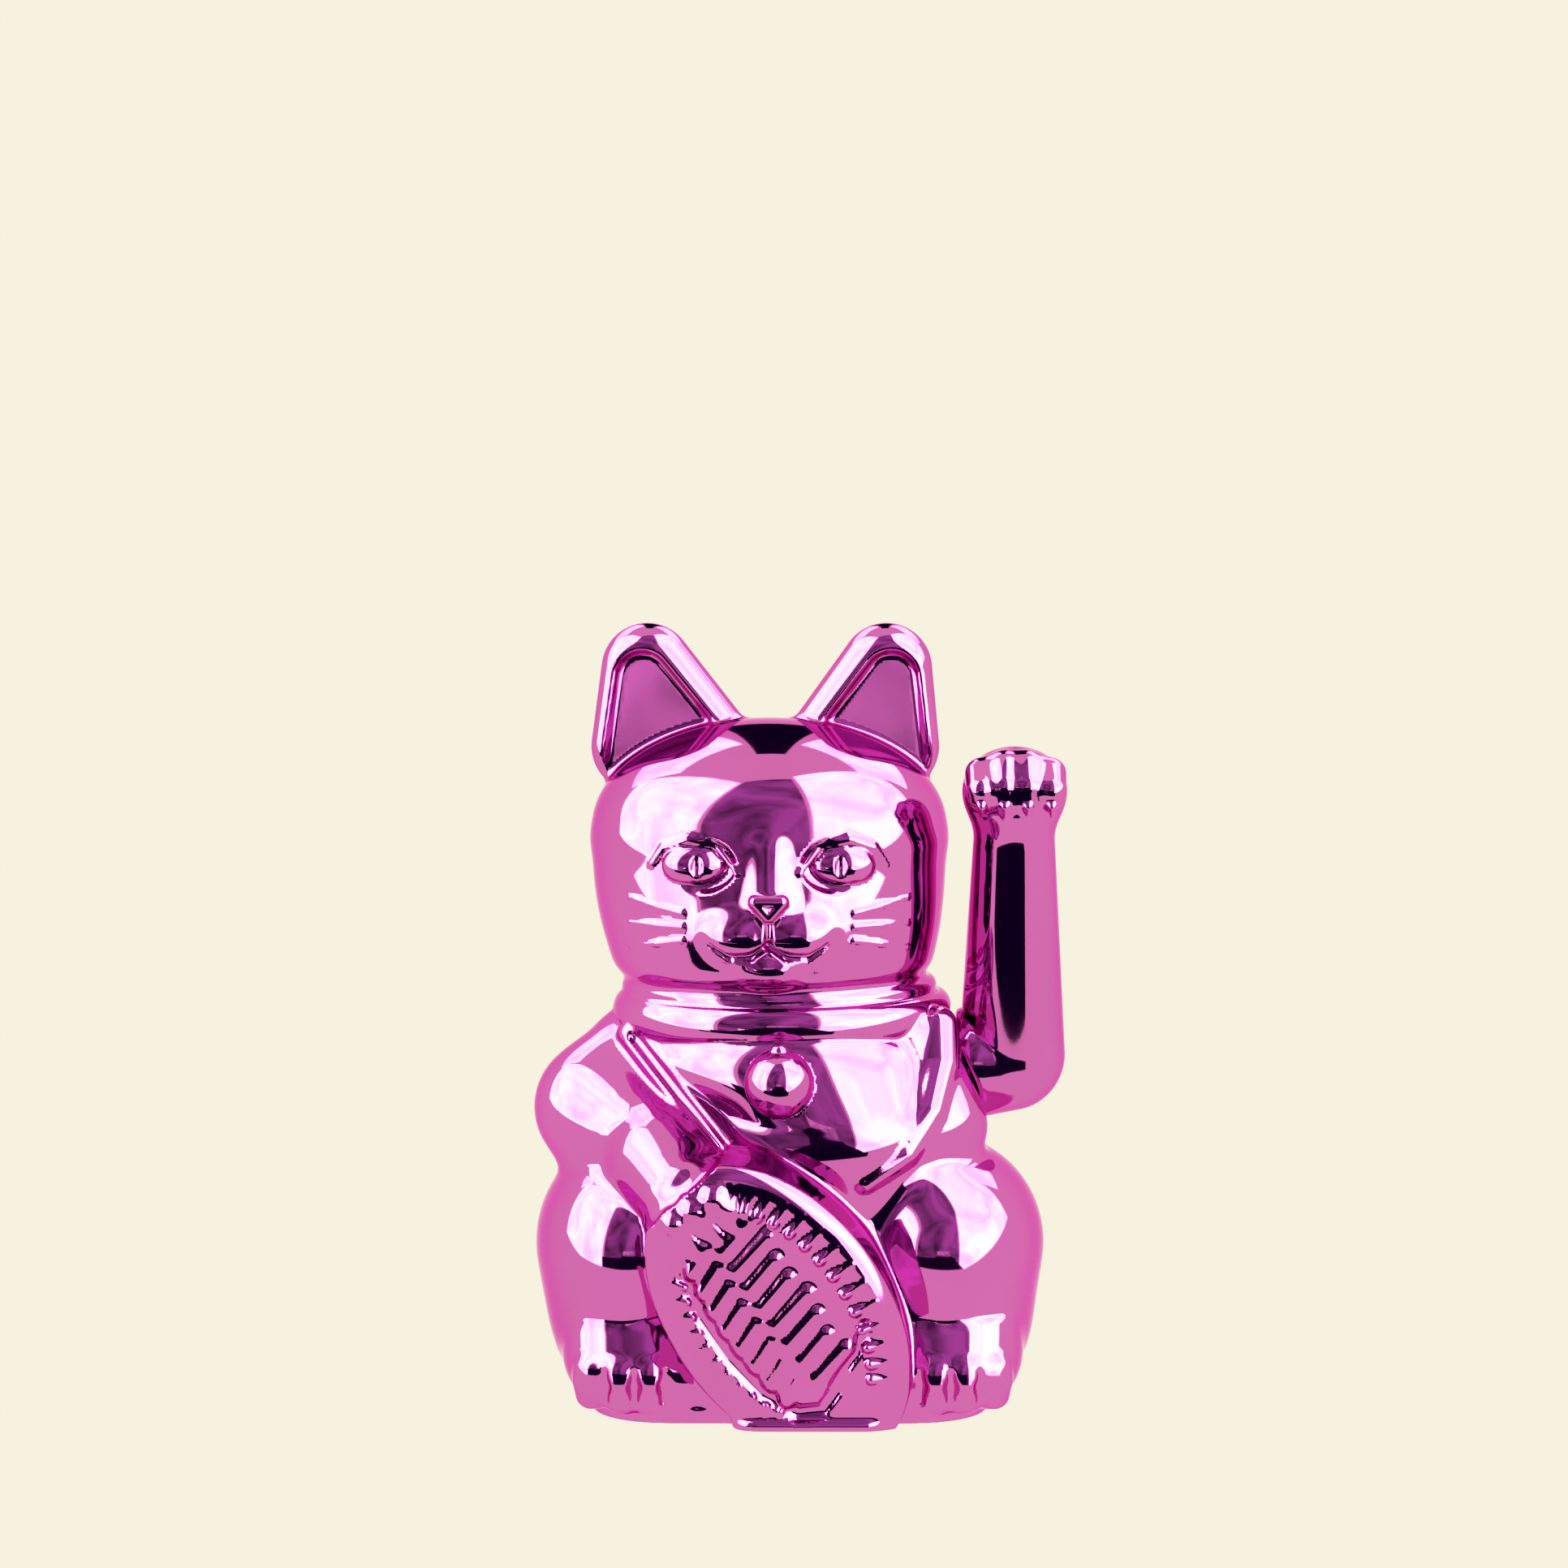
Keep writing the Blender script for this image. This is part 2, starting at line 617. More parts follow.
def add_face(form):
    """A calm, plain cat face on even proportions."""
    eye_z, eye_x = 105.0, 13.4
    nose_z, muzzle_z, whisker_z, chin_z = 97.6, 92.0, 93.5, 86.0
    for side in SIDES:
        x = HEAD_X + side * eye_x
        y = front_y(form, x, eye_z)
        form.cut(ellipsoid((x, y - 0.9, eye_z), (7.6, 2.4, 5.2)), 0.8)
        form.add(ellipsoid((x, y + 2.3, eye_z), (6.4, 3.4, 4.2)), 0.5)
        form.cut(ellipsoid((x, y - 1.2, eye_z), (1.1, 0.9, 3.0)), 0.4)
        lid = [(x - side * 7.6, eye_z - 1.2), (x - side * 4, eye_z + 3.6), (x + side * 1.5, eye_z + 5.0),
               (x + side * 6, eye_z + 3.2), (x + side * 8.4, eye_z - 0.2)]
        form.add(path(on_front(form, lid, 0.3), [0.5, 0.9, 1.1, 0.9, 0.5]), 0.8)
    for side in SIDES:
        x = HEAD_X + side * 5.2
        form.add(ellipsoid((x, front_y(form, x, muzzle_z) + 2.4, muzzle_z), (6.8, 4.6, 5.2)), 2.4)
    form.add(ellipsoid((HEAD_X, front_y(form, HEAD_X, chin_z) + 2, chin_z - 0.4), (5.6, 3.6, 3.2)), 2.4)
    bridge = [(HEAD_X, eye_z + 3), (HEAD_X, eye_z - 2), (HEAD_X, nose_z + 1)]
    form.add(path(on_front(form, bridge, 2.0), [1.8, 2.6, 3.2]), 4)
    nose_y = front_y(form, HEAD_X, nose_z) - 0.4
    nose = (((-2.4, 98.6), (2.4, 98.6), 1.3), ((-2.2, 98.4), (0, 95.8), 1.1), ((2.2, 98.4), (0, 95.8), 1.1))
    form.add(joined([limb((HEAD_X + x0, nose_y + 0.9, z0), 1.3, (HEAD_X + x1, nose_y + 0.9, z1), end_r)
                     for (x0, z0), (x1, z1), end_r in nose]), 0.5)
    mouth = on_front(form, [(HEAD_X, 94.4), (HEAD_X, 90.6)])
    form.cut(limb(mouth[0], 0.5, mouth[1], 0.7), 0.7)
    smile = ((0, 90.4), (3.4, 88.2), (7.4, 88), (11, 90.4))
    fan = ((16, 2.6), (21, 3.6), (26, 4.8))
    for side in SIDES:
        bends = on_front(form, [(HEAD_X + side * out, z) for out, z in smile])
        for i in range(3):
            form.cut(limb(bends[i], 0.7, bends[i + 1], 0.7 if i < 2 else 0.3), 0.7)
        for i in (-1, 0, 1):
            whisker = [(HEAD_X + side * out, whisker_z + rise * i) for out, rise in fan]
            form.add(path(on_front(form, whisker, 0.25), [0.75, 0.7, 0.4]), 0.5)


# ---- the coin

# its middle, half sizes, face above the middle and depth; its rounded border is (wide, deep)
COIN_CENTRE = (-4.1, -35.4, 23.4)
COIN_R = (20.4, 32.3)
COIN_TOP = 5.0
COIN_DEEP = 18.0
COIN_RIM = (4.6, 2.6)
COIN_TILT = math.radians(34)
COIN_LEAN = math.radians(-10)

# the circles (x, y, radius) round its foot, and the plane (point, normal) where the paw cuts it off
COIN_LEDGE = ((-8.2, -33.4, 4.4), (11.6, -33.4, 4.4), (-8.2, -30, 4), (11.6, -30, 4))
PAW_EDGE = ((-29, 0, 38.5), (-0.684, 0, 0.73))

# the border's ticks, in degrees, and the slanted bars
TICK_STEP = 8.4
BAR_PITCH = 4.4
BAR_R = 1.3
BAR_SINK = 0.55

# unit directions across, along and out of its face
SIN_TILT, COS_TILT = math.sin(COIN_TILT), math.cos(COIN_TILT)
SIN_LEAN, COS_LEAN = math.sin(COIN_LEAN), math.cos(COIN_LEAN)
COIN_U = (COS_TILT, SIN_TILT * SIN_LEAN, SIN_TILT * COS_LEAN)
COIN_V = (-SIN_TILT, COS_TILT * SIN_LEAN, COS_TILT * COS_LEAN)
COIN_W = (0, -COS_LEAN, SIN_LEAN)


def coin_point(u, v, w):
    """A point given across, along and out of the coin's face."""
    return np.array(COIN_CENTRE) + u * np.array(COIN_U) + v * np.array(COIN_V) + w * np.array(COIN_W)


def coin_plate():
    """An oval plate with a wide rounded border."""
    radii = np.array(COIN_R, float)

    def shape(p):
        v = p[:, :2]
        near = length(v / radii)
        out = length(v) * (1 - 1 / np.maximum(near, 1e-3))
        rise = p[:, 2] - COIN_TOP
        q = np.stack([out / COIN_RIM[0] + 1, rise / COIN_RIM[1] + 1], -1)
        rounded = length(np.maximum(q, 0)) + np.minimum(q.max(-1), 0) - 1
        return np.maximum(rounded * COIN_RIM[1], -p[:, 2] - COIN_DEEP)

    return turned(shape, (-radii[0], -radii[1], -COIN_DEEP), (radii[0], radii[1], COIN_TOP),
                  COIN_CENTRE, (COIN_U, COIN_V, COIN_W))


def trimmed(shape, point, normal):
    """A shape cut off beyond a plane."""
    field, low, high = shape

    def kept(p):
        return np.maximum(field(p), (p - np.array(point, float)) @ np.array(normal, float))

    return kept, low, high


def coin_rim(degrees):
    """A point on the coin's outline, and the direction straight out from it."""
    turn = math.radians(degrees)
    unit = np.array([math.cos(turn), math.sin(turn)])
    return unit * COIN_R, unit / COIN_R / length(unit / COIN_R)


def add_coin(form):
    """The oval coin, cut off under the paw, with a foot, a grooved border, ticks and plain slanted bars."""
    form.add(trimmed(coin_plate(), *PAW_EDGE), 0.9)
    form.add(slab(hull_outline(COIN_LEDGE), STAND_Z, STAND_Z + 1.6, 0.7), 1.6)
    border = [(-9.5, 17), (-11.6, 8), (-11.8, -2), (-10.6, -11), (-7.4, -17.6), (-3.6, -19.6), (0.6, -18),
              (4.4, -15), (8.6, -13.2), (12.4, -10.5)]
    form.cut(path([coin_point(u, v, COIN_TOP + 0.25) for u, v in border], [1.2] * len(border)), 1.4)
    for i in range(18):
        rim, outward = coin_rim(-48 + i * TICK_STEP)
        start, end = rim - outward * 3.6, rim - outward * 7.6
        form.add(limb(coin_point(*start, COIN_TOP - 0.9), 0.5, coin_point(*end, COIN_TOP + 0.1), 0.9), 0.8)
    for i in range(11):
        rim = coin_rim(140 + i * TICK_STEP)[0]
        start, end = rim * 0.86, rim * 0.7
        form.add(limb(coin_point(*start, COIN_TOP - 0.7), 0.3, coin_point(*end, COIN_TOP - 0.2), 0.6), 0.5)
    for i in range(8):
        v = 17.5 - BAR_PITCH * i
        inner = -9.2 + 0.3 * abs(i - 3)
        for u0, u1 in ((inner, inner + 5.2), (-1.4, 6.4 + 0.9 * math.sin(1.9 * i))):
            start = coin_point(u0, v - 1.2, COIN_TOP - BAR_SINK)
            end = coin_point(u1, v + 1.2, COIN_TOP - BAR_SINK)
            form.add(limb(start, BAR_R, end, BAR_R), 1.4)


# ---- the rest of the casing

def add_paw(form):
    """The lowered paw, and three fingers that lie on the coin."""
    form.add(limb((-26, -24, 49), 9.4, (-21.5, -33.6, 44.6), 8.2), 3)
    for i in (-1, 0, 1):
        u = -1.2 + FINGER_PITCH * i
        start, end = coin_point(u, 26, COIN_TOP - 0.4), coin_point(u + 0.8, 19.6, COIN_TOP - 0.9)
        form.add(limb(start, 2.3, end, 1.4), 1.6)


def add_tail(form):
    """A short tail that curls round the rear to the right."""
    points = [(-12, 33, 8), (0, 37.3, 8.4), (10, 37.2, 12.5), (16, 34.4, 19.5), (17, 31.6, 26)]
    form.add(path(points, [5, 5, 5, 4.8, 4.4]), 1.6)


def casing_form():
    """The outside of the whole casing."""
    form = Form()
    add_trunk(form)
    for side in SIDES:
        add_leg(form, side)
    add_arms(form)
    add_bib(form)
    add_head(form)
    add_face(form)
    add_coin(form)
    add_paw(form)
    form.add(ellipsoid(BELL, (BELL_R, BELL_R, BELL_R)), 0.4)
    form.add(ellipsoid((BELL[0], BELL[1] - 0.8, BELL[2] + BELL_R - 0.3), (1.6, 1.6, 1.4)), 0.4)
    add_tail(form)
    return form


def casing_hollow():
    """The room inside the casing, with the pocket's wall and the four screw bosses left standing."""
    form = Form()
    body = [(z, x, y, width - TRUNK_WALL, depth - TRUNK_WALL) for z, x, y, width, depth in TRUNK]
    neck = [(72, CHEST_X, 1.6, 28.6, 23.8), (88, -4.8, 0, 27.4, 22.6)]
    form.add(column([(6, -2, 1.6, 37, 33.4), *body, *neck]), 1)
    for side in SIDES:
        x, wide = THIGH[side]
        form.add(ellipsoid((x, -7, 31), (wide - WALL, THIGH_DEPTH - WALL, 20 - WALL)), 3)
        form.add(ellipsoid((x, -6, 15), (wide - 3.4 - WALL, 24 - WALL, 9 - WALL)), 6)
    form.add(limb(STUB_TOP, STUB_TOP_R - WALL, STUB_END, STUB_END_R - WALL), 3)
    form.add(limb(SHOULDER, SHOULDER_R - WALL, ELBOW, ELBOW_R - WALL), 4)
    form.add(limb(ELBOW, ELBOW_R - WALL, WRIST, WRIST_R - WALL), 3)
    form.add(ellipsoid((HEAD_X, 0, 111), (HEAD_R[0] - WALL, HEAD_R[1] - WALL, 18.5)), 1)
    form.add(ellipsoid((HEAD_X, 0, 94), (30.4, 24.3, 15.6)), 8)
    form.cut(cylinder_x(POCKET_X - WALL, POCKET_X + POCKET_REACH, PIVOT[1], PIVOT[2], POCKET_R + WALL), 0.6)
    for x, y in BASE_SCREWS:
        outward = math.copysign(12, x)
        form.cut(limb((x, y, 5.6), BOSS_ROD_R, (x + outward, y * 1.2, 14), BOSS_ROD_R), 0.6)
    return form


# ---- the waving arm's form

def boss_side(x):
    """Everything on the casing's side of a plane across x."""
    return rounded_box((x - 20, 0, 64), (20, 40, 40), 0.1)


def arm_form():
    """The outside of the waving arm: forearm, round boss, palm, four fingers and their claws."""
    form = Form()
    form.add(limb((ARM_X, 0.6, 115.6), 7.4, (ARM_X + 0.3, ARM_Y, 66), FOREARM_R))
    form.add(limb((ARM_X - 6, ARM_Y, 64.4), BOSS_R - 0.2, (ARM_X, ARM_Y, ARM_FOOT_Z), FOREARM_R), 0.6)
    form.add(ellipsoid((ARM_X, 0.4, 119.8), (9.9, 8.3, 8.2)), 4)
    for i in range(4):
        x, drop = ARM_X + (i - 1.5) * FINGER_PITCH, 1.3 * abs(i - 1.5)
        finger = [(x, -2.6, 126 - drop), (x, -6.2, 123 - drop / 2), (x, -6.2, 120.6)]
        form.add(path(finger, [2.9, 2.8, 2.5]), 1.8)
        form.add(limb((x, -8.4, 119.4), 0.9, (x, -7.4, 117), 0.3), 0.7)
    form.cut(boss_side(BOSS_X), 0.9)
    return form


def arm_hollow():
    """The room inside the waving arm, with the hub round the axle left standing."""
    form = Form()
    inner_r = FOREARM_R - ARM_WALL
    form.add(limb((ARM_X, ARM_Y, 114.6), 6, (ARM_X + 0.6, ARM_Y, 82), 8))
    form.add(limb((ARM_X + 0.6, ARM_Y, 82), 8, (ARM_X, ARM_Y, ARM_FOOT_Z), inner_r), 2)
    form.add(limb((ARM_X - 5, ARM_Y, 64.4), BOSS_R - 2, (ARM_X, ARM_Y, ARM_FOOT_Z), inner_r), 1.5)
    form.add(ellipsoid((ARM_X, 1.4, 120), (8, 6.2, 7.2)), 3)
    form.cut(boss_side(BOSS_X + ARM_WALL), 0.4)
    form.cut(cylinder_x(BOSS_X, BOSS_X + HUB_LENGTH, PIVOT[1], PIVOT[2], HUB_R), 0.4)
    return form


# ---- cutting the pieces

def prism(name, outline, low, high, axis=2):
    """A straight solid with that outline, from low to high along an axis."""
    n = len(outline)
    points = np.concatenate([np.insert(outline, axis, low, 1), np.insert(outline, axis, high, 1)])
    mesh = bpy.data.meshes.new(name)
    sides = [(i, (i + 1) % n, n + (i + 1) % n, n + i) for i in range(n)]
    mesh.from_pydata((points * MM).tolist(), [], [tuple(range(n))[::-1], tuple(range(n, 2 * n))] + sides)
    obj = bpy.data.objects.new(name, mesh)
    bpy.context.scene.collection.objects.link(obj)
    return obj


def round_tool(x0, x1, y, z, r, count=128):
    """A rod along x."""
    turn = np.linspace(0, 2 * np.pi, count, endpoint=False)
    return prism("rod", np.stack([y + r * np.cos(turn), z + r * np.sin(turn)], -1), x0, x1, 0)


def half_tool(side):
    """Everything on one side of the seam."""
    edge = SEAM_Y + side * FAR
    low, high = min(SEAM_Y, edge), max(SEAM_Y, edge)
    return prism("half", np.array([(-FAR, low), (FAR, low), (FAR, high), (-FAR, high)]), -FAR, FAR)


def carve(piece, tool, operation="DIFFERENCE"):
    """Applies a Boolean to the piece and removes the tool."""
    cut = piece.modifiers.new("carve", "BOOLEAN")
    cut.operation = operation
    cut.solver = "MANIFOLD"
    cut.object = tool
    graph = bpy.context.evaluated_depsgraph_get()
    mesh = bpy.data.meshes.new_from_object(piece.evaluated_get(graph))
    assert len(mesh.polygons) > 0, piece.name
    piece.modifiers.clear()
    old = piece.data
    piece.data = mesh
    bpy.data.meshes.remove(old)
    bpy.data.objects.remove(tool)


def copy_of(piece, name):
    """A second object with its own copy of the mesh."""
    twin = piece.copy()
    twin.data = piece.data.copy()
    twin.name = name
    bpy.context.scene.collection.objects.link(twin)
    return twin


SHARP = math.radians(35)
ON_SKIN = 0.06


def shade(piece, form):
    """Normals from the form on its skin, and smooth or sharp by angle on every cut."""
    mesh = piece.data
    mesh.shade_smooth()
    mesh.set_sharp_from_angle(angle=SHARP)
    places = np.empty(len(mesh.vertices) * 3)
    mesh.vertices.foreach_get("co", places)
    places = places.reshape(-1, 3) / MM
    corner_vertex = np.empty(len(mesh.loops), int)
    mesh.loops.foreach_get("vertex_index", corner_vertex)
    normals = np.empty(len(mesh.loops) * 3)
    mesh.corner_normals.foreach_get("vector", normals)
    normals = normals.reshape(-1, 3)
    face_normals = np.empty(len(mesh.polygons) * 3)
    mesh.polygon_normals.foreach_get("vector", face_normals)
    sizes = np.empty(len(mesh.polygons), int)
    mesh.polygons.foreach_get("loop_total", sizes)
    corner_face = np.repeat(face_normals.reshape(-1, 3), sizes, 0)

    skin_vertex = np.abs(in_chunks(form, places)) < ON_SKIN
    slope = np.zeros_like(places)
    slope[skin_vertex] = gradient(form, places[skin_vertex], 0.05)
    slope /= np.maximum(length(slope), 1e-6)[:, None]
    corner_slope = slope[corner_vertex]
    follows = skin_vertex[corner_vertex] & ((corner_slope * corner_face).sum(1) > 0.7)
    normals[follows] = corner_slope[follows]
    mesh.normals_split_custom_set(normals.tolist())


def split_at_seam(whole, name):
    """The front and rear halves of a piece, which is used up."""
    halves = []
    for side, suffix in ((-1, "_front"), (1, "_rear")):
        half = copy_of(whole, name + suffix)
        carve(half, half_tool(side), "INTERSECT")
        halves.append(half)
    bpy.data.objects.remove(whole)
    return halves


def build_casing():
    """The two halves of the casing, split at the seam."""
    form = casing_form()
    whole = mesh_object("casing", *skin(form, *CASING_BOX, CASING_STEP))
    carve(whole, mesh_object("hollow", *skin(casing_hollow(), *HOLLOW_BOX, HOLLOW_STEP)))
    carve(whole, prism("opening", hull_outline(BASE_CIRCLES, BASE_OPENING_IN), -12, 8))
    ground = np.array([(-FAR, -FAR), (FAR, -FAR), (FAR, FAR), (-FAR, FAR)])
    carve(whole, prism("below", ground, -FAR, STAND_Z))
    carve(whole, round_tool(POCKET_X, POCKET_X + POCKET_REACH, PIVOT[1], PIVOT[2], POCKET_R))
    carve(whole, round_tool(POCKET_X - 10, POCKET_X + 10, PIVOT[1], PIVOT[2], AXLE_HOLE_R))
    halves = split_at_seam(whole, "casing")
    for piece in halves:
        shade(piece, form)
    return halves


def lean_arm(piece):
    """Turns a half of the arm forward about its axle."""
    piece.data.transform(Matrix.Translation(Vector(PIVOT * MM)) @ Matrix.Rotation(ARM_LEAN, 4, "X")
                         @ Matrix.Translation(Vector(-PIVOT * MM)))


def build_arm():
    """The two halves of the waving arm, made upright and then leaned forward."""
    form = arm_form()
    whole = mesh_object("arm", *skin(form, *ARM_BOX, ARM_STEP))
    carve(whole, mesh_object("arm_hollow", *skin(arm_hollow(), *ARM_BOX, HOLLOW_STEP / 2)))
    carve(whole, round_tool(BOSS_X - 2, BOSS_X + 12.4, PIVOT[1], PIVOT[2], HUB_HOLE_R))
    halves = split_at_seam(whole, "arm")
    for piece in halves:
        shade(piece, form)
        lean_arm(piece)
    return halves


# ---- materials

def linear(hex_colour):
    """An sRGB colour like "d355af" as linear values."""
    parts = [int(hex_colour[i:i + 2], 16) / 255 for i in (0, 2, 4)]
    return [p / 12.92 if p <= 0.04045 else ((p + 0.055) / 1.055) ** 2.4 for p in parts] + [1.0]


def map_range(nodes, links, source, spans):
    """A source carried from one span to another; spans are from low, from high, to low and to high."""
    node = nodes.new("ShaderNodeMapRange")
    for name, value in zip(("From Min", "From Max", "To Min", "To Max"), spans):
        node.inputs[name].default_value = value
    links.new(source, node.inputs["Value"])
    return node.outputs["Result"]


class Finish:
    """A material whose colour, roughness and bump vary with noise over the object's own coordinates."""

    def __init__(self, name):
        self.material = bpy.data.materials.new(name)
        self.material.use_nodes = True
        self.nodes = self.material.node_tree.nodes
        self.links = self.material.node_tree.links
        self.shader = self.nodes["Principled BSDF"]
        self.place = self.nodes.new("ShaderNodeTexCoord").outputs["Object"]

    def noise(self, scale, detail=3.0, stretch=None):
        node = self.nodes.new("ShaderNodeTexNoise")
        node.inputs["Scale"].default_value = scale
        node.inputs["Detail"].default_value = detail
        source = self.place
        if stretch:
            mapping = self.nodes.new("ShaderNodeMapping")
            mapping.inputs["Scale"].default_value = stretch
            self.links.new(source, mapping.inputs["Vector"])
            source = mapping.outputs["Vector"]
        self.links.new(source, node.inputs["Vector"])
        return node.outputs["Fac"]

    def spread(self, source, low, high):
        return map_range(self.nodes, self.links, source, (0.3, 0.7, low, high))

    def colours(self, source, first, second):
        node = self.nodes.new("ShaderNodeMix")
        node.data_type = "RGBA"
        node.inputs["A"].default_value = first
        node.inputs["B"].default_value = second
        self.links.new(source, node.inputs["Factor"])
        return node.outputs["Result"]

    def bump(self, sources):
        """Stacks bumps, each (height source, distance in metres)."""
        normal = None
        for source, distance in sources:
            node = self.nodes.new("ShaderNodeBump")
            node.inputs["Strength"].default_value = 1.0
            node.inputs["Distance"].default_value = distance
            self.links.new(source, node.inputs["Height"])
            if normal:
                self.links.new(normal, node.inputs["Normal"])
            normal = node.outputs["Normal"]
        self.links.new(normal, self.shader.inputs["Normal"])

    def drive(self, name, source):
        self.links.new(source, self.shader.inputs[name])

    def fix(self, name, value):
        self.shader.inputs[name].default_value = value


def plated_pink():
    """Bright pink vacuum plating under thin lacquer, with soft waves and a faint orange peel."""
    f = Finish("plated_pink")
    cloud = f.spread(f.noise(22, 4), 0, 1)
    f.drive("Base Color", f.colours(cloud, (0.67, 0.142, 0.53, 1), (0.73, 0.156, 0.585, 1)))
    f.fix("Metallic", 1.0)
    f.drive("Roughness", f.spread(f.noise(60, 5), 0.03, 0.075))
    f.fix("Specular Tint", (0.95, 0.3, 0.8, 1))
    f.fix("Coat Weight", 0.3)
    f.fix("Coat Roughness", 0.02)
    f.bump([(f.noise(70, 1), 0.00004), (f.noise(900, 2), 0.0000012)])
    return f.material


def worn_metal(name, first, second, rough=(0.2, 0.4), brushed=None):
    """A bare or plated metal with stains and fine scratches."""
    f = Finish(name)
    f.drive("Base Color", f.colours(f.spread(f.noise(120, 4), 0, 1), linear(first), linear(second)))
    f.fix("Metallic", 1.0)
    f.drive("Roughness", f.spread(f.noise(300, 4), *rough))
    f.bump([(f.noise(900, 3, brushed), 0.000012)])
    return f.material


def plain_plastic(name, first, second, rough=(0.35, 0.55), grain=0.00001, see_through=0.0):
    """A moulded plastic with slight mottling and a fine grain."""
    f = Finish(name)
    f.drive("Base Color", f.colours(f.spread(f.noise(90, 4), 0, 1), linear(first), linear(second)))
    f.drive("Roughness", f.spread(f.noise(260, 4), *rough))
    f.fix("Subsurface Weight", see_through)
    f.fix("Subsurface Radius", (0.001, 0.001, 0.001))
    f.bump([(f.noise(1600, 2), grain)])
    return f.material


def winding():
    """Enamelled copper wire, wound in even turns round the vertical axis."""
    f = Finish("enamelled_copper")
    wave = f.nodes.new("ShaderNodeTexWave")
    wave.bands_direction = "Z"
    wave.inputs["Scale"].default_value = 900
    wave.inputs["Distortion"].default_value = 0.6
    f.links.new(f.place, wave.inputs["Vector"])
    f.drive("Base Color", f.colours(f.spread(f.noise(200, 3), 0, 1), linear("b5652b"), linear("8f4519")))
    f.fix("Metallic", 1.0)
    f.drive("Roughness", f.spread(f.noise(240, 3), 0.22, 0.4))
    f.bump([(wave.outputs["Fac"], 0.00008)])
    return f.material


def paint_nodes():
    """Gives every carried-over CAD node its finish."""
    steel = worn_metal("zinc_steel", "b9bcc2", "8f939b", (0.22, 0.4))
    brass = worn_metal("brass", "c9a35a", "a98243", (0.2, 0.38))
    magnet = worn_metal("nickel_magnet", "c4c2bc", "9d9a93", (0.12, 0.3))
    black = plain_plastic("black_plastic", "17171a", "222226")
    nylon = plain_plastic("nylon", "e6e2d6", "d3cdbd", (0.4, 0.6), 0.00002, 0.15)
    board = plain_plastic("board", "1c5a35", "174a2c", (0.25, 0.4))
    sleeve = plain_plastic("capacitor_sleeve", "1a2348", "232f5e", (0.25, 0.4))
    resistor = plain_plastic("resistor_body", "c9a777", "b08c5b", (0.4, 0.6))
    cell = plain_plastic("cell_label", "2a2f38", "3a414d", (0.22, 0.36))
    lead_red = plain_plastic("lead_red", "b31c1a", "8e1413", (0.35, 0.5))
    lead_black = plain_plastic("lead_black", "1a1a1c", "29292c", (0.35, 0.5))
    finishes = (
        (plated_pink_material, ("base_plate", "battery_cover")),
        (steel, ("base_screws", "post_screws", "arm_axle", "axle_clips", "lever_screw", "counterweight",
                 "board_screws", "battery_spring", "battery_contact", "switch_body", "switch_screws")),
        (brass, ("bush_inner", "bush_outer", "switch_pins")),
        (magnet, ("drive_magnet",)),
        (black, ("bearing_post_inner", "bearing_post_outer", "driver_transistor", "switch_slider")),
        (nylon, ("pendulum_lever", "coil_bobbin")),
        (winding(), ("coil_winding",)),
        (board, ("circuit_board",)),
        (sleeve, ("timing_capacitor",)),
        (resistor, ("resistors",)),
        (cell, ("battery_cell",)),
        (lead_red, ("lead_battery_board", "lead_switch_board")),
        (lead_black, ("lead_battery_switch",)),
    )
    for material, names in finishes:
        for name in names:
            for slot in frame["nodes"][name].material_slots:
                slot.material = material


# ---- the object

plated_pink_material = plated_pink()
paint_nodes()
casing_front, casing_rear = build_casing()
arm_front, arm_rear = build_arm()
for piece, body, node in ((casing_front, "casing", "front_shell"), (casing_rear, "casing", "rear_shell"),
                          (arm_front, "swinging_arm", "arm_front_shell"),
                          (arm_rear, "swinging_arm", "arm_rear_shell")):
    piece.data.materials.clear()
    piece.data.materials.append(plated_pink_material)
    piece.data.polygons.foreach_set("material_index", np.zeros(len(piece.data.polygons), int))
    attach(piece, body)
    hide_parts(node)


# ---- studio

CREAM = linear("f6f2df")
FLOOR_HALF = 0.4
FLOOR_FRONT = -0.125
FLOOR_BACK = 0.6
APRON_FRONT = -0.7
CARD_CENTRE = (0, 0, 0.07)
CAMERA_PLACE = (0, -0.891, 0.197)
CAMERA_TARGET = (-0.0032, 0, 0.118)
CAMERA_LENS = 107.3


def sheet_of(name, corners, material):
    """A flat four-cornered sheet that isn't part of the object."""
    mesh = bpy.data.meshes.new(name)
    mesh.from_pydata([tuple(c) for c in corners], [], [(0, 1, 2, 3)])
    mesh.materials.append(material)
    obj = bpy.data.objects.new(name, mesh)
    bpy.context.scene.collection.objects.link(obj)
    return obj


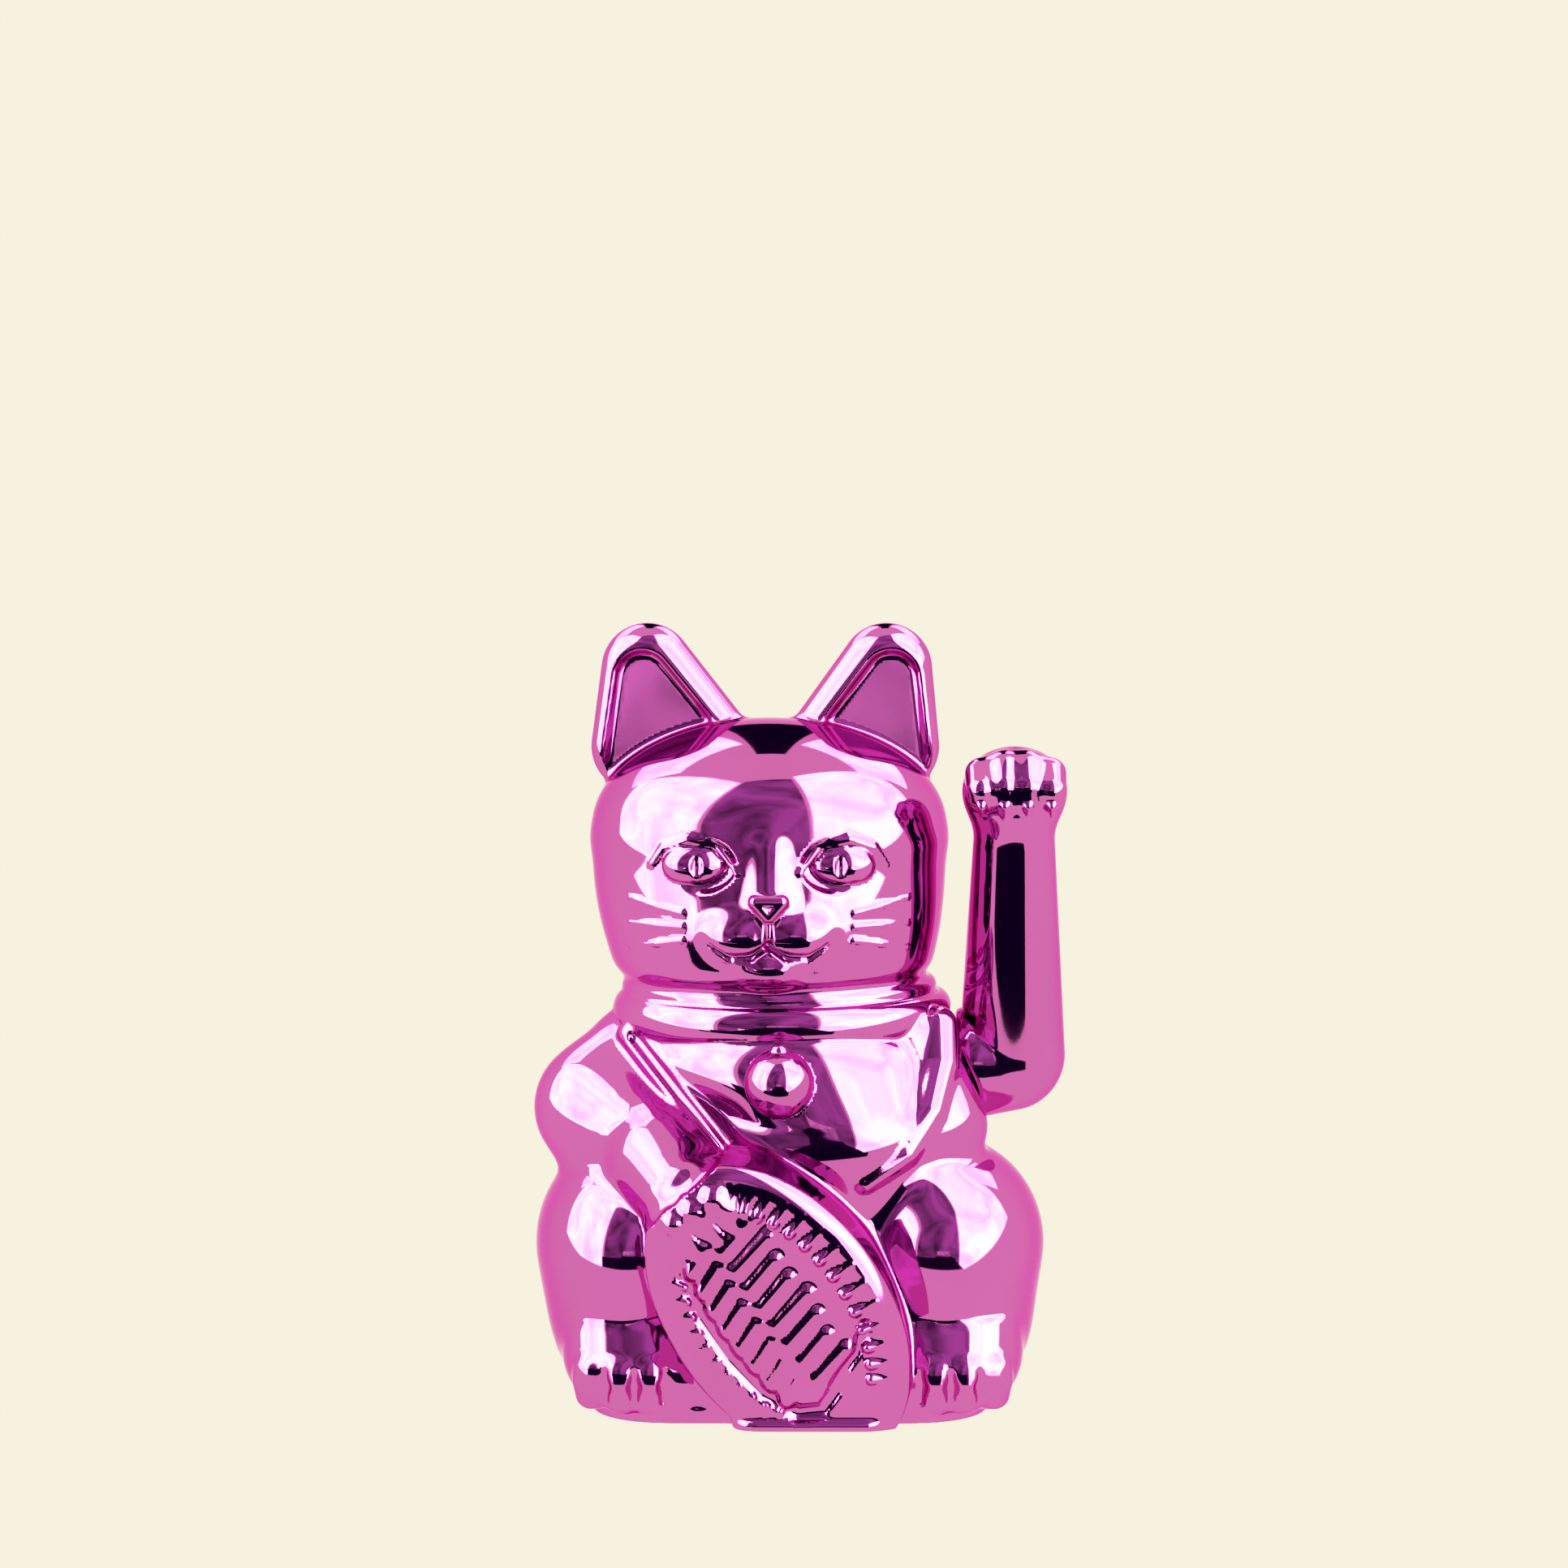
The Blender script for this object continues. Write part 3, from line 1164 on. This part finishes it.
def glow(name, colour, strength=1.0, second=None, scale=3.0, again=1.0):
    """A light or dark cloth. With a second strength it varies softly between the two; again is its share
    in what is seen after two or more reflections."""
    material = bpy.data.materials.new(name)
    material.use_nodes = True
    nodes, links = material.node_tree.nodes, material.node_tree.links
    nodes.clear()
    out = nodes.new("ShaderNodeOutputMaterial")
    light = nodes.new("ShaderNodeEmission")
    light.inputs["Color"].default_value = colour
    light.inputs["Strength"].default_value = strength
    links.new(light.outputs[0], out.inputs["Surface"])
    if second is not None:
        place = nodes.new("ShaderNodeTexCoord").outputs["Object"]
        cloud = nodes.new("ShaderNodeTexNoise")
        for setting, value in (("Scale", scale), ("Detail", 3.0), ("Distortion", 0.8)):
            cloud.inputs[setting].default_value = value
        links.new(place, cloud.inputs["Vector"])
        depth = nodes.new("ShaderNodeLightPath").outputs["Ray Depth"]
        product = nodes.new("ShaderNodeMath")
        product.operation = "MULTIPLY"
        level = map_range(nodes, links, cloud.outputs["Fac"], (0.35, 0.62, second, strength))
        share = map_range(nodes, links, depth, (1.0, 2.0, 1.0, again))
        links.new(level, product.inputs[0])
        links.new(share, product.inputs[1])
        links.new(product.outputs[0], light.inputs["Strength"])
    return material


def toward(azimuth, elevation, distance):
    """A point round the object; azimuth 0 is in front, and positive to the right in the picture."""
    a, e = math.radians(azimuth), math.radians(elevation)
    direction = Vector((math.sin(a) * math.cos(e), -math.cos(a) * math.cos(e), math.sin(e)))
    return Vector(CARD_CENTRE) + distance * direction


def only_in_reflections(panel):
    panel.visible_camera = False
    panel.visible_diffuse = False
    panel.visible_shadow = False


def card(name, corners, material, distance=0.9):
    """A light or dark panel through four directions (azimuth, elevation), seen in reflections only."""
    only_in_reflections(sheet_of(name, [toward(*c, distance) for c in corners], material))


def stripe(name, azimuth, wide, low, high, material, distance):
    """A narrow upright card."""
    left, right = azimuth - wide / 2, azimuth + wide / 2
    card(name, [(left, low), (right, low), (right, high), (left, high)], material, distance)


def floor_sheet(name, front, back):
    """A stretch of the floor."""
    left, right = -FLOOR_HALF, FLOOR_HALF
    corners = [(left, front, 0), (right, front, 0), (right, back, 0), (left, back, 0)]
    return sheet_of(name, corners, glow(name, CREAM))


def build_floor():
    """The floor under the object, and an apron in front that the plating doesn't reflect."""
    floor_sheet("floor", FLOOR_FRONT, FLOOR_BACK)
    apron = floor_sheet("apron", APRON_FRONT, FLOOR_FRONT)
    apron.visible_glossy = False
    apron.visible_diffuse = False
    apron.visible_shadow = False


def build_studio():
    """A cream room with cloth lights at the sides and dark cloths in front, above and behind."""
    world = bpy.data.worlds.new("studio")
    bpy.context.scene.world = world
    world.use_nodes = True
    world.node_tree.nodes["Background"].inputs["Color"].default_value = CREAM
    world.node_tree.nodes["Background"].inputs["Strength"].default_value = 1.0
    build_floor()
    cloth = glow("softbox", (1.0, 0.98, 1.0, 1.0), 6.2, 3.6, 3.0, 0.2)
    black = glow("dark_cloth", (0.006, 0.0, 0.02, 1.0))
    dim = glow("dim_room", (0.8, 0.42, 0.8, 1.0), 0.62, 0.10, 2.2)
    rosy = glow("ear_cloth", (0.95, 0.75, 0.85, 1.0), 1.0, 0.35, 25.0)
    card("left_softbox", [(-43, -21), (-100, 6), (-118, 40), (-33, 68)], cloth)
    card("right_softbox", [(21, -21), (37, 76), (116, 52), (101, 18)], cloth)
    card("dim_room", [(-40, -19), (20, -19), (30, 74), (-30, 70)], dim, 1.2)
    card("dark_front", [(-54, -60), (32, -60), (32, -18), (-54, -18)], black, 1.1)
    card("dark_dome", [(-34, -20), (30, -20), (12, -2), (-10, -2)], black, 0.72)
    card("ear_cloth", [(-9, -1.4), (9, -1.4), (9, 3.8), (-9, 3.8)], rosy, 0.6)
    card("left_back", [(-118, 34), (-166, 34), (-166, 60), (-108, 58)], cloth)
    card("right_back", [(118, 34), (166, 34), (166, 60), (108, 58)], cloth)
    card("dark_back", [(-172, 28), (172, 28), (165, 74), (-165, 74)], black, 1.0)
    only_in_reflections(sheet_of("dark_edge", [(-0.125, -0.13, -0.02), (0.055, -0.13, -0.02),
                                               (0.055, -0.13, 0.03), (-0.125, -0.13, 0.03)], black))
    stripe("light_stand", -24.5, 4, -23, 34, glow("light_stand", (1.0, 0.95, 1.0, 1.0), 2.2), 1.0)
    stripe("pink_stand", -11, 5, -16, 42, glow("pink_stand", (0.95, 0.62, 0.8, 1.0), 0.8), 1.05)
    stripe("dark_stand", -4, 6, -23, 8, black, 1.04)
    stripe("far_stand", 16, 3, -23, 30, glow("far_stand", (0.9, 0.6, 0.9, 1.0), 0.7), 1.05)


def build_camera():
    """The camera at the photograph's angle."""
    data = bpy.data.cameras.new("camera")
    data.lens = CAMERA_LENS
    data.sensor_width = 36.0
    camera = bpy.data.objects.new("camera", data)
    bpy.context.scene.collection.objects.link(camera)
    camera.location = CAMERA_PLACE
    camera.rotation_mode = "QUATERNION"
    camera.rotation_quaternion = (Vector(CAMERA_TARGET) - camera.location).to_track_quat("-Z", "Y")
    bpy.context.scene.camera = camera


build_studio()
build_camera()
bpy.context.scene.view_settings.view_transform = "Standard"
bpy.context.scene.view_settings.look = "None"
